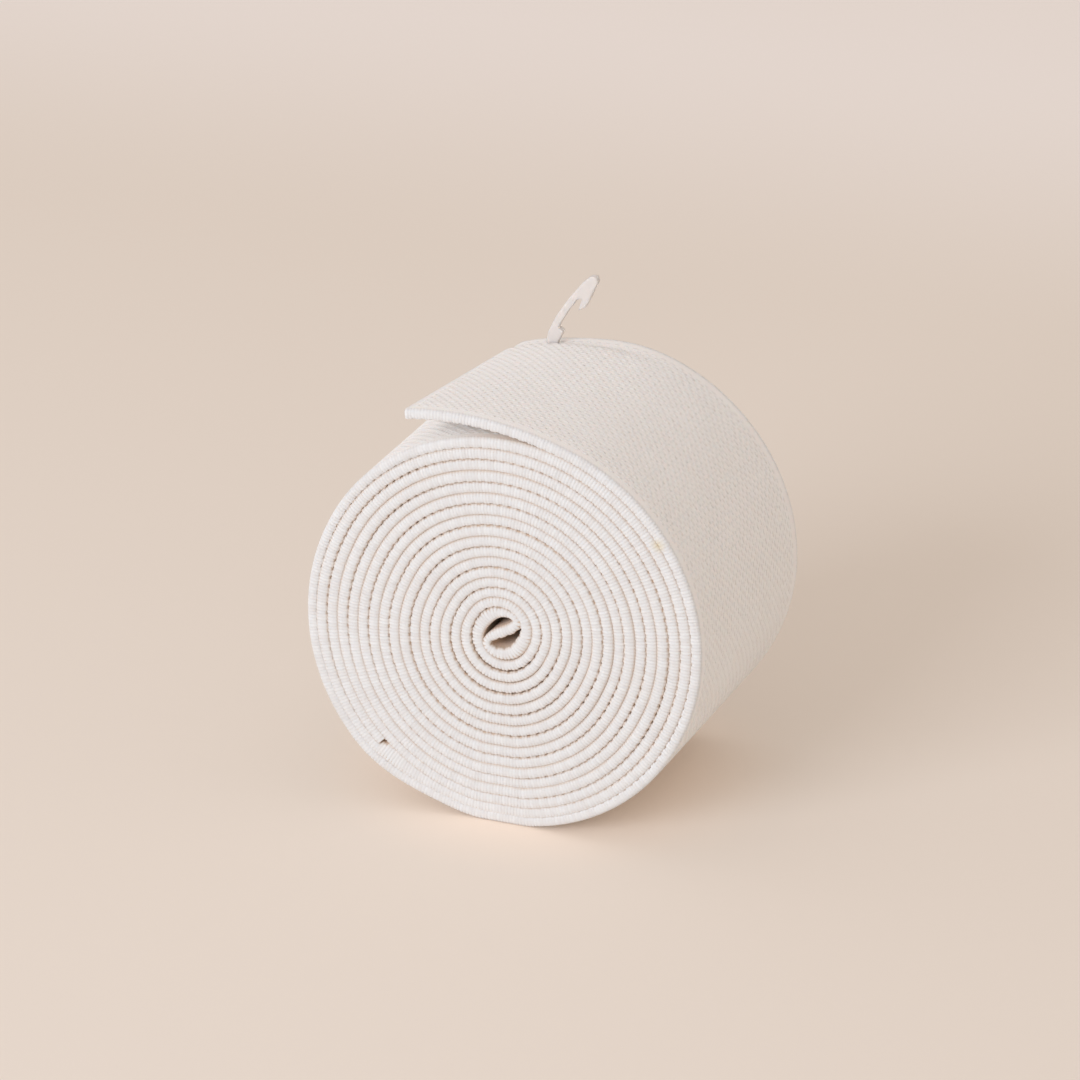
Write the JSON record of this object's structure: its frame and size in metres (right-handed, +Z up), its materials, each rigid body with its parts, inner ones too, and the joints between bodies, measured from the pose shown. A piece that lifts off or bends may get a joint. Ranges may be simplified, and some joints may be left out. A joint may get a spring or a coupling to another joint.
{
  "type": "roll of elastic",
  "caption": "Flat woven elastic tape folded in half and wound into a roll, its loose end standing off the top and held by a hooked plastic pin.",
  "frame": {"origin": "middle of the flat spot on the outermost turn that the roll rests on", "axes": "+Z up, +Y along the tape's width (the roll's axis) towards the end where the pin is, +X to the right of the front end face"},
  "size_m": [0.0448, 0.03, 0.0529],
  "materials": {
    "woven_elastic": "off-white woven elastic, matt, with fine cross ribs",
    "clear_nylon": "milky translucent nylon, moulded, soft gloss"
  },
  "bodies": {
    "root": {"elastic_tape": "woven_elastic", "hooked_pin": "clear_nylon"}
  },
  "joints": []
}
